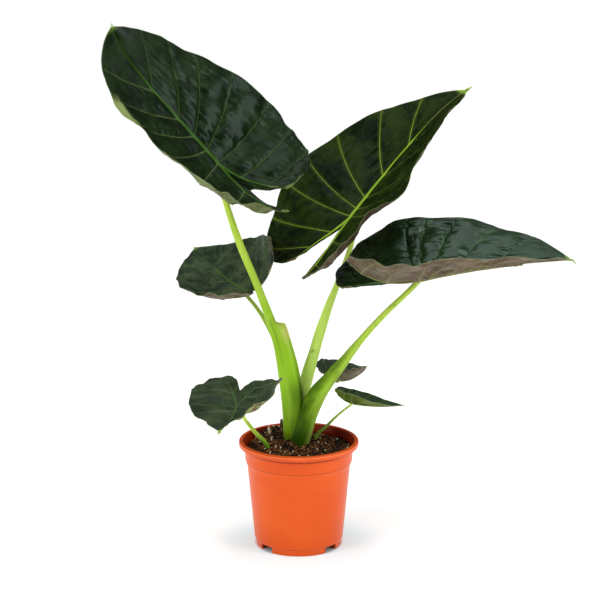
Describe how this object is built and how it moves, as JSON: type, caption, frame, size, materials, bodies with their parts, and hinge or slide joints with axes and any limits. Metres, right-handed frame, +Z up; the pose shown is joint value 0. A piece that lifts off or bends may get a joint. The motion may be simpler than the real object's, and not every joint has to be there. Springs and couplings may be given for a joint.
{
  "type": "potted alocasia",
  "caption": "Potted alocasia: large arrow-shaped ribbed leaves on long sheathed stalks, rooted in soil in a tapered plastic nursery pot.",
  "frame": {"origin": "middle of the whole plant's outline seen from above, at the level the pot stands on; the pot's axis is 65 mm to the left of it and 21 mm in front of it", "axes": "+Z up; +Y away from the camera of the picture, +X to its right"},
  "size_m": [0.6504, 0.5014, 0.7503],
  "materials": {
    "pot": "satin orange-terracotta plastic",
    "soil": "dark crumbly peat and coir with pale granules",
    "dead_stalk": "dry, dark brown, fibrous",
    "stalk": "smooth lime green with fine lengthwise streaks",
    "blade": "glossy dark green above with pale veins, taupe to pale green below"
  },
  "bodies": {
    "root": {"pot": "pot", "soil": "soil", "dead_stub": "dead_stalk", "stalk_1": "stalk", "stalk_2": "stalk", "stalk_3": "stalk", "stalk_4": "stalk", "stalk_5": "stalk", "stalk_6": "stalk", "stalk_7": "stalk", "blade_1": "blade", "blade_2": "blade", "blade_3": "blade", "blade_4": "blade", "blade_5": "blade", "blade_6": "blade", "blade_7": "blade"}
  },
  "joints": []
}
